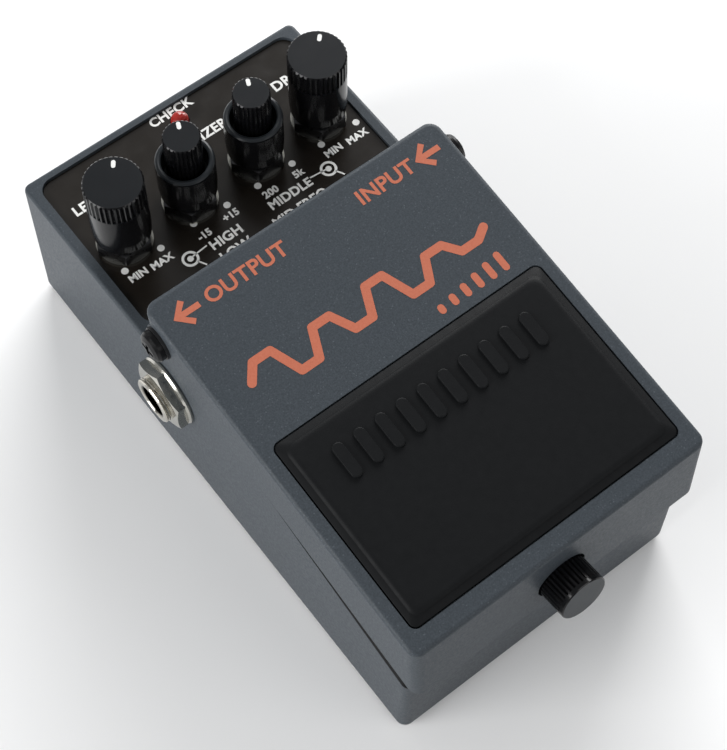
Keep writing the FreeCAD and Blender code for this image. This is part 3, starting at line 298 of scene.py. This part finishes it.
MATERIALS = {
    "case_paint": case_paint("case_paint"),
    "panel_print": panel_print(),
    "knob_plastic": knob_plastic("knob_plastic", (0, 0, 1), (0.0038, 0.0049, 0.0064),
                                 (0.0058, 0.0071, 0.0091)),
    "led_red": status_lens(),
    "nut_nickel": plated("nut_nickel", (0.46, 0.45, 0.41), (0.58, 0.57, 0.52), 0.20),
    "pot_metal": plated("pot_metal", (0.50, 0.49, 0.47), (0.62, 0.61, 0.58), 0.34),
    "screw_steel": plated("screw_steel", (0.46, 0.46, 0.46), (0.60, 0.60, 0.60), 0.32),
    "cover_steel": plated("cover_steel", (0.44, 0.44, 0.45), (0.56, 0.56, 0.57), 0.38, (1, 12, 1)),
    "spring_steel": plated("spring_steel", (0.48, 0.48, 0.48), (0.62, 0.62, 0.61), 0.25),
    "black_screw": plastic("black_screw", (0.0030, 0.0030, 0.0036), (0.006, 0.006, 0.007), 0.32,
                           specular=0.22),
    "base_rubber": plastic("base_rubber", (0.008, 0.008, 0.009), (0.014, 0.014, 0.016), 0.75,
                           900, 0.00012),
    "tread_rubber": plastic("tread_rubber", (0.0058, 0.0063, 0.0070), (0.0084, 0.0090, 0.0098),
                            0.55, 3000, 0.00003, 0.10),
    "black_plastic": plastic("black_plastic", (0.006, 0.006, 0.007), (0.012, 0.012, 0.013), 0.5),
    "switch_plastic": plastic("switch_plastic", (0.010, 0.010, 0.011), (0.02, 0.02, 0.022), 0.45),
    "bush_nylon": plastic("bush_nylon", (0.010, 0.010, 0.011), (0.018, 0.018, 0.020), 0.4),
    "chip_plastic": plastic("chip_plastic", (0.008, 0.008, 0.008), (0.018, 0.018, 0.018), 0.6),
    "can_sleeve": plastic("can_sleeve", (0.016, 0.026, 0.07), (0.03, 0.045, 0.10), 0.3),
    "battery_jacket": plastic("battery_jacket", (0.02, 0.022, 0.026), (0.04, 0.043, 0.05), 0.3),
    "circuit_board": plastic("circuit_board", (0.014, 0.085, 0.035), (0.03, 0.13, 0.055), 0.35),
}
THUMB_PLASTIC = knob_plastic("thumb_plastic", (0, -1, 0.12), (0.018, 0.022, 0.026),
                             (0.025, 0.030, 0.035), 0.45)
# Outer knobs: matte black plastic whose upward faces on the rounded rim are painted lighter, a
# painted sheen for the light on the rim
RING_PLASTIC_PAINTED_SHEEN = knob_plastic("ring_plastic_painted_sheen", (0, 0, 1), (0.016, 0.019, 0.022),
                            (0.021, 0.025, 0.029), 0.34, (0.35, 0.70))
JACK_METAL = jack_metal()
# Chassis paint with painted shade on the ledge under the pedal plate
SHADED_PAINT = case_paint("case_paint_shaded", shaded=True)
# Pot nuts: plated metal painted near black, a painted shade for the shadow of the knobs above them
NUT_PAINTED_SHADE = plated("nut_painted_shade", (0.055, 0.055, 0.058), (0.085, 0.085, 0.088), 0.30)
WHITE_INK = ink("white_ink", (0.74, 0.74, 0.72), (0.88, 0.88, 0.86))
ORANGE_INK = ink("orange_ink", (0.45, 0.120, 0.066), (0.54, 0.168, 0.100))

SLOT_OF = {part["node"]: part["material_slot"] for part in frame["record"]["subparts"]}
for node, piece in frame["nodes"].items():
    for index in range(len(piece.material_slots)):
        piece.material_slots[index].material = MATERIALS[SLOT_OF[node]]
OWN_MATERIAL = {"thumbscrew_knob": THUMB_PLASTIC, "bass_knob": RING_PLASTIC_PAINTED_SHEEN,
                "mid_frequency_knob": RING_PLASTIC_PAINTED_SHEEN, "output_jack_bushing": JACK_METAL,
                "input_jack_bushing": JACK_METAL, "chassis": SHADED_PAINT, "pot_nuts": NUT_PAINTED_SHADE}
for node, material in OWN_MATERIAL.items():
    for slot in frame["nodes"][node].material_slots:
        slot.material = material


# ---------------------------------------------------------------- piece helpers

def finish_piece(name, mesh, body, material):
    piece = bpy.data.objects.new(name, mesh)
    scene.collection.objects.link(piece)
    mesh.materials.clear()
    mesh.materials.append(material)
    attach(piece, body)
    return piece


def mesh_from(work, name):
    mesh = bpy.data.meshes.new(name)
    bmesh.ops.recalc_face_normals(work, faces=work.faces)
    work.to_mesh(mesh)
    work.free()
    return mesh


def place_on(origin, along, across):
    """Matrix of a flat patch: x along, y across, z out of the surface."""
    along, across = along.normalized(), across.normalized()
    out = along.cross(across)
    matrix = Matrix((along, across, out)).transposed().to_4x4()
    matrix.translation = origin
    return matrix


PANEL_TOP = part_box("control_panel")[1].z
PANEL = place_on(Vector((0, 0, PANEL_TOP)), Vector((1, 0, 0)), Vector((0, 1, 0)))
PLATE = place_on(PLATE_FRONT, Vector((1, 0, 0)), PLATE_REAR - PLATE_FRONT)
PRINT_THICK = 0.03 * MM


def walls(work, loops):
    """Side faces between closed loops of vertices, from the first loop to the last."""
    count = len(loops[0])
    for lower, upper in zip(loops, loops[1:]):
        for i in range(count):
            j = (i + 1) % count
            work.faces.new((lower[i], lower[j], upper[j], upper[i]))


def smooth_walls(work):
    """Smooth side faces and flat end caps, which have more corners than four."""
    for face in work.faces:
        face.smooth = len(face.verts) == 4


def plate_of_outlines(work, outlines, bottom, top, matrix):
    """Closed outlines in mm become solid patches between two heights over a surface."""
    for outline in outlines:
        low = [work.verts.new(matrix @ Vector((x * MM, y * MM, bottom))) for x, y in outline]
        high = [work.verts.new(matrix @ Vector((x * MM, y * MM, top))) for x, y in outline]
        work.faces.new(high)
        work.faces.new(low[::-1])
        walls(work, [low, high])


def printed(name, outlines, matrix, body, slot, material):
    work = bmesh.new()
    plate_of_outlines(work, outlines, 0.0, PRINT_THICK, matrix)
    return finish_piece(name, mesh_from(work, name), body, material)


def at_angle(x, y, reach, angle):
    """Point at a distance and an angle from another."""
    return x + reach * math.cos(angle), y + reach * math.sin(angle)


def disc(x, y, radius, count=40):
    return [at_angle(x, y, radius, 2 * math.pi * i / count) for i in range(count)]


def stroke(x0, y0, x1, y1, width, round_ends=True):
    """Straight stroke with round or square ends."""
    along = Vector((x1 - x0, y1 - y0)).normalized()
    side = Vector((-along.y, along.x)) * (width / 2)
    heading = math.atan2(along.y, along.x)
    if not round_ends:
        return [(x0 - side.x, y0 - side.y), (x1 - side.x, y1 - side.y),
                (x1 + side.x, y1 + side.y), (x0 + side.x, y0 + side.y)]
    points = []
    for x, y, turn in ((x1, y1, heading - math.pi / 2), (x0, y0, heading + math.pi / 2)):
        points += [at_angle(x, y, width / 2, turn + math.pi * i / 8) for i in range(9)]
    return points


def band(points, width):
    """One outline along a bent line: round ends, rounded outer corners, mitred inner corners."""
    half = width / 2
    path = [Vector(point) for point in points]

    def side(order):
        """The edge to the left of the path, when it is walked in an order."""
        edge = []
        for i in range(1, len(order) - 1):
            before = (order[i] - order[i - 1]).normalized()
            after = (order[i + 1] - order[i]).normalized()
            first, last = math.atan2(before.x, -before.y), math.atan2(after.x, -after.y)
            bend = math.remainder(last - first, 2 * math.pi)
            if bend > 0:
                edge.append(at_angle(*order[i], half / math.cos(bend / 2), first + bend / 2))
            else:
                edge += [at_angle(*order[i], half, first + bend * k / 5) for k in range(6)]
        along = (order[-1] - order[-2]).normalized()
        start = math.atan2(along.x, -along.y)
        return edge + [at_angle(*order[-1], half, start - math.pi * k / 8) for k in range(9)]

    return side(path) + side(path[::-1])


def ring_segments(x, y, radius, width, count=36):
    """Ring as short flat pieces that meet edge to edge."""
    pieces = []
    for i in range(count):
        a0, a1 = 2 * math.pi * i / count, 2 * math.pi * (i + 1) / count
        inner, outer = radius - width / 2, radius + width / 2
        pieces.append([at_angle(x, y, reach, angle)
                       for reach, angle in ((inner, a0), (outer, a0), (outer, a1), (inner, a1))])
    return pieces


CAPITAL_SHARE = 0.70


def word(name, text, x, y, size, matrix, body, slot, material, weight, align="LEFT", wide=1.0):
    """Plain generic label; size is the capital height in mm."""
    curve = bpy.data.curves.new(name, "FONT")
    curve.body = text
    curve.size = size * MM / CAPITAL_SHARE
    curve.align_x = align
    curve.offset = weight * MM
    curve.extrude = PRINT_THICK / 2
    curve.resolution_u = 4
    curve.space_character = 1.04
    holder = bpy.data.objects.new(name + "_text", curve)
    scene.collection.objects.link(holder)
    bpy.context.view_layer.update()
    graph = bpy.context.evaluated_depsgraph_get()
    mesh = bpy.data.meshes.new_from_object(holder.evaluated_get(graph))
    bpy.data.objects.remove(holder)
    shift = Matrix.Translation((x * MM, y * MM, PRINT_THICK / 2))
    mesh.transform(matrix @ shift @ Matrix.Diagonal((wide, 1, 1, 1)))
    return finish_piece(name, mesh, body, material)


# ---------------------------------------------------------------- panel print

PANEL_INK = (PANEL, "case", "panel_print", WHITE_INK)
DOTS = [(-26.6, 33.1), (-18.4, 33.1), (-10.4, 33.7), (-2.95, 33.2),
        (4.25, 33.1), (12.5, 33.15), (19.6, 33.2), (28.1, 33.2)]
printed("scale_dots", [disc(x, y, 0.72) for x, y in DOTS], *PANEL_INK)


def dual_mark(x, y, side, line=0.30):
    """Ringed dot with one fine line towards a side and one forwards, for a knob on a knob."""
    return ring_segments(x, y, 1.45, 0.5) + [
        disc(x, y, 0.62),
        stroke(x + side * 0.5, y + 0.15, x + side * 4.1, y + 0.5, line, False),
        stroke(x + 0.8, y - 1.2, x + 1.75, y - 2.9, line, False)]


# Middle of each mark, and the side its line points to: 1 is right
DUAL_MARKS = [(-15.3, 27.8, 1), (17.4, 27.95, -1)]
for index, mark in enumerate(DUAL_MARKS):
    printed(f"dual_mark_{index}", dual_mark(*mark), *PANEL_INK)

# Name, text, middle x, baseline y and capital height
LABELS = [
    ("level_min", "MIN", -25.05, 30.2, 1.5), ("level_max", "MAX", -19.9, 29.9, 1.5),
    ("high_low_end", "-15", -10.1, 29.8, 1.5), ("high_high_end", "+15", -3.65, 30.3, 1.5),
    ("frequency_low_end", "200", 5.4, 29.8, 1.5), ("frequency_high_end", "5k", 12.1, 30.0, 1.5),
    ("drive_min", "MIN", 20.7, 30.0, 1.5), ("drive_max", "MAX", 26.25, 29.8, 1.5),
    ("high_word", "HIGH", -7.2, 26.65, 2.0), ("low_word", "LOW", -7.2, 23.4, 2.0),
    ("middle_word", "MIDDLE", 8.15, 27.0, 1.9), ("frequency_word", "MID FREQ", 7.9, 23.45, 1.9),
    ("level_word", "LEVEL", -23.2, 48.4, 2.1), ("equalizer_word", "EQUALIZER", 0.1, 47.9, 2.1),
    ("drive_word", "DRIVE", 24.2, 48.4, 2.2), ("check_word", "CHECK", 0.6, 56.1, 2.0),
]
for name, text, x, y, size in LABELS:
    word(name, text, x, y, size, *PANEL_INK, align="CENTER", weight=0.09)


# ---------------------------------------------------------------- plate print

PLATE_INK = (PLATE, "pedal", "case_paint", ORANGE_INK)


def arrow(tip_x, tip_y, length=5.0, arm=3.5, half=0.58, spread=math.radians(42)):
    """One outline of an arrow that points to the left, with square-cut strokes."""
    cos, sin = math.cos(spread), math.sin(spread)
    notch = half * (1 + cos) / sin
    upper = [(arm * cos - half * sin, arm * sin + half * cos),
             (arm * cos + half * sin, arm * sin - half * cos),
             (notch * cos + half * sin, half), (length, half)]
    outline = [(-half * 0.9, 0.0)] + upper + [(x, -y) for x, y in reversed(upper)]
    return [[(tip_x + half + x, tip_y + y) for x, y in outline]]


printed("output_arrow", arrow(-29.6, 72.4), *PLATE_INK)
printed("input_arrow", arrow(24.1, 72.4), *PLATE_INK)
word("output_word", "OUTPUT", -22.6, 71.2, 2.9, *PLATE_INK, weight=0.10, wide=1.04)
word("input_word", "INPUT", 10.9, 71.0, 2.9, *PLATE_INK, weight=0.10, wide=1.04)


def wave_points(start=-25.4, middle=55.0, reach=3.1, flat=3.75, slope=2.4):
    """Clipped wave across the plate, a plain sign for a driven sound."""
    heights = [0, 1, 1, -1, -1, 0.75, 0.75, -0.75, -0.75, 1, 1, -1, -1, 0.5, 0.5, -0.5, -0.5, 0]
    points = []
    x = start
    for height, following in zip(heights, heights[1:] + [None]):
        points.append((x, middle + reach * height))
        x += flat if following == height else slope
    return points


def rising_bars(count=6, left=10.1, pitch=2.9, low=46.4, first_high=47.0, rise=0.45, width=1.35):
    """Short bars, each taller than the one to its left."""
    return [stroke(left + pitch * i, low, left + pitch * i, first_high + rise * i, width)
            for i in range(count)]


printed("wave_print", [band(wave_points(), 1.7)], *PLATE_INK)
printed("bar_print", rising_bars(), *PLATE_INK)


# ---------------------------------------------------------------- tread rubber

def rounded_loop(half_x, low, high, corner, steps=8):
    """Rectangle with round corners, centred left to right."""
    points = []
    for cx, cy, start in ((half_x - corner, high - corner, 0), (corner - half_x, high - corner, 90),
                          (corner - half_x, low + corner, 180), (half_x - corner, low + corner, 270)):
        points += [at_angle(cx, cy, corner, math.radians(start + 90 * i / steps))
                   for i in range(steps + 1)]
    return points


TREAD_HALF_WIDTH = 29.5
TREAD_FRONT = 4.1
TREAD_REAR = 43.6
TREAD_CORNER = 1.3
# Distance in from the rubber's edge and height over the plate, from the recess's floor to the crown
TREAD_SECTION = [(0.0, -0.98), (0.0, -0.10), (0.10, 0.02), (1.15, 0.05), (1.30, 0.20), (1.50, 0.44),
                 (1.78, 0.61), (2.15, 0.69), (2.6, 0.70)]


def tread():
    """Moulded rubber in the plate's recess: flange, rolled edge, flat crown."""
    work = bmesh.new()
    loops = []
    for inset, height in TREAD_SECTION:
        outline = rounded_loop(TREAD_HALF_WIDTH - inset, TREAD_FRONT + inset, TREAD_REAR - inset,
                               TREAD_CORNER + min(inset, 1.8) * 0.5)
        loops.append([work.verts.new(PLATE @ Vector((x * MM, y * MM, height * MM)))
                      for x, y in outline])
    walls(work, loops)
    work.faces.new(loops[0][::-1])
    work.faces.new(loops[-1])
    smooth_walls(work)
    return mesh_from(work, "tread_rubber")


tread_piece = finish_piece("tread_rubber", tread(), "pedal",
                           MATERIALS["tread_rubber"])
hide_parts("tread_pad")


def raised_bar(work, outline, base, height, slope=0.32):
    """Moulded bar with sloping flanks."""
    centre = Vector((sum(x for x, _ in outline), sum(y for _, y in outline))) / len(outline)
    loops = []
    for inset, z in ((0.0, base), (0.10, base + height * 0.75), (slope, base + height)):
        loop = []
        for x, y in outline:
            away = Vector((x, y)) - centre
            moved = centre + away * max(0.0, 1 - inset / max(away.length, 0.4))
            loop.append(work.verts.new(PLATE @ Vector((moved.x * MM, moved.y * MM, z * MM))))
        loops.append(loop)
    walls(work, loops)
    work.faces.new(loops[-1])
    work.faces.new(loops[0][::-1])


BAR_COUNT = 10
BAR_PITCH = 4.6
BAR_LOW, BAR_HIGH, BAR_WIDTH = 31.4, 36.6, 2.3
BAR_BASE, BAR_HEIGHT = 0.68, 0.55


def tread_bars():
    """Row of plain moulded bars across the rubber's crown."""
    work = bmesh.new()
    for index in range(BAR_COUNT):
        x = BAR_PITCH * (index - (BAR_COUNT - 1) / 2)
        raised_bar(work, stroke(x, BAR_LOW, x, BAR_HIGH, BAR_WIDTH), BAR_BASE, BAR_HEIGHT)
    return mesh_from(work, "tread_bars")


finish_piece("tread_bars", tread_bars(), "pedal", MATERIALS["tread_rubber"])


# ---------------------------------------------------------------- return spring

# The coil ends low enough for the plate to be pressed right down without meeting it
COIL_BOTTOM = 20.6
COIL_TOP = 43.6


def coil(bottom, top, radius=4.2, wire=0.55, turns=6, steps=30, sides=10):
    """Open coil spring about its own upright axis, in mm."""
    work = bmesh.new()
    rings = []
    for i in range(turns * steps + 1):
        angle = 2 * math.pi * i / steps
        height = bottom + (top - bottom) * i / (turns * steps)
        outward = Vector((math.cos(angle), math.sin(angle), 0))
        ring = []
        for k in range(sides):
            around = 2 * math.pi * k / sides
            point = outward * (radius + wire * math.cos(around))
            point.z = height + wire * math.sin(around)
            ring.append(work.verts.new((SPRING_AXIS + point) * MM))
        rings.append(ring)
    walls(work, rings)
    work.faces.new(rings[0][::-1])
    work.faces.new(rings[-1])
    smooth_walls(work)
    return mesh_from(work, "coil_spring")


spring_piece = finish_piece("coil_spring", coil(COIL_BOTTOM, COIL_TOP), "case",
                            MATERIALS["spring_steel"])
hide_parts("return_spring")


# ---------------------------------------------------------------- knob pointers

POINTER_SLOT_DEPTH = 0.15 * MM
POINTER_BELOW_TOP = 0.03 * MM
POINTER_HALF = 0.42
POINTER_WIDTH = 0.82
# Knob, the pointer's middle from the knob's axis in mm, and its turn clockwise from the rear
POINTERS = [("level", 3.93, 36), ("drive", 3.93, 44), ("treble", 2.4, 24), ("mid", 2.4, 24)]


def pointer(knob, middle, degrees_from_rear):
    """White filling of the slot in a knob's top, turned clockwise from the rear."""
    low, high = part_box(knob + "_knob")
    angle = math.radians(90 - degrees_from_rear)
    ends = [at_angle(0.0, 0.0, reach, angle)
            for reach in (middle - POINTER_HALF, middle + POINTER_HALF)]
    work = bmesh.new()
    matrix = Matrix.Translation(((low.x + high.x) / 2, KNOB_Y * MM, high.z))
    plate_of_outlines(work, [stroke(*ends[0], *ends[1], POINTER_WIDTH)], -POINTER_SLOT_DEPTH,
                      -POINTER_BELOW_TOP, matrix)
    name = knob + "_pointer"
    finish_piece(name, mesh_from(work, name), knob + "_control", WHITE_INK)


for knob, middle, turn in POINTERS:
    pointer(knob, middle, turn)


# ---------------------------------------------------------------- floor, light, camera

FLOOR_HALF = 3.0
LIGHT_DISTANCE = 0.8
# Name, direction from the pedal, width and height in metres, and strength
LIGHTS = [("left_box", (-0.85, 0.10, 0.32), (0.55, 0.50), 0.98),
          ("front_box", (0.30, -0.80, 0.50), (0.60, 0.35), 0.20),
          ("back_box", (0.72, 0.72, 0.45), (0.60, 0.40), 1.20),
          ("right_box", (0.90, 0.35, 0.35), (0.30, 0.50), 0.15)]
WORLD_STRENGTH = 0.36
CAMERA_PLACE = Vector((-0.097417, -0.127639, 0.342938))
CAMERA_FORWARD = Vector((0.27375781, 0.34226746, -0.89883795))
CAMERA_UP = Vector((0.54602046, 0.71403435, 0.43819699))
CAMERA_LENS = 89.42


def floor():
    """Plain pale floor, far larger than the view."""
    work = bmesh.new()
    corners = [work.verts.new((x * FLOOR_HALF, y * FLOOR_HALF, 0))
               for x, y in ((-1, -1), (1, -1), (1, 1), (-1, 1))]
    work.faces.new(corners)
    mesh = mesh_from(work, "studio_floor")
    paint = Paint("studio_floor", 0.0, 0.9)
    paint.set("Base Color", paint.blend(paint.noise(30, 3), (0.88, 0.88, 0.88), (0.90, 0.90, 0.90)))
    mesh.materials.append(paint.material)
    piece = bpy.data.objects.new("studio_floor", mesh)
    scene.collection.objects.link(piece)


def softbox(name, direction, size, strength):
    """Area light that gives a strength of 1 where it falls straight on a surface at the pedal."""
    target = Vector((0.0, 0.0, 0.03))
    towards = Vector(direction).normalized()
    lamp = bpy.data.lights.new(name, "AREA")
    lamp.shape = "RECTANGLE"
    lamp.size, lamp.size_y = size
    lamp.energy = strength * (math.pi * LIGHT_DISTANCE) ** 2
    holder = bpy.data.objects.new(name, lamp)
    holder.location = target + towards * LIGHT_DISTANCE
    holder.rotation_mode = "QUATERNION"
    holder.rotation_quaternion = (-towards).to_track_quat("-Z", "Y")
    scene.collection.objects.link(holder)


def studio():
    """Soft light from the left and from behind on the right, and weak light from two more sides."""
    world = bpy.data.worlds.new("studio")
    world.use_nodes = True
    background = world.node_tree.nodes["Background"]
    background.inputs["Color"].default_value = (0.97, 0.985, 1.0, 1.0)
    background.inputs["Strength"].default_value = WORLD_STRENGTH
    scene.world = world
    scene.view_settings.view_transform = "Standard"
    for light in LIGHTS:
        softbox(*light)


def camera():
    """View from the pedal's front left, looking steeply down, as a long lens sees it."""
    forward, up = CAMERA_FORWARD, CAMERA_UP
    right = forward.cross(up).normalized()
    up = right.cross(forward).normalized()
    lens = bpy.data.cameras.new("view_camera")
    lens.sensor_width = 36.0
    lens.lens = CAMERA_LENS
    lens.clip_start, lens.clip_end = 0.01, 20.0
    holder = bpy.data.objects.new("view_camera", lens)
    matrix = Matrix((right, up, -forward)).transposed().to_4x4()
    matrix.translation = CAMERA_PLACE
    holder.matrix_world = matrix
    scene.collection.objects.link(holder)
    scene.camera = holder


floor()
studio()
camera()
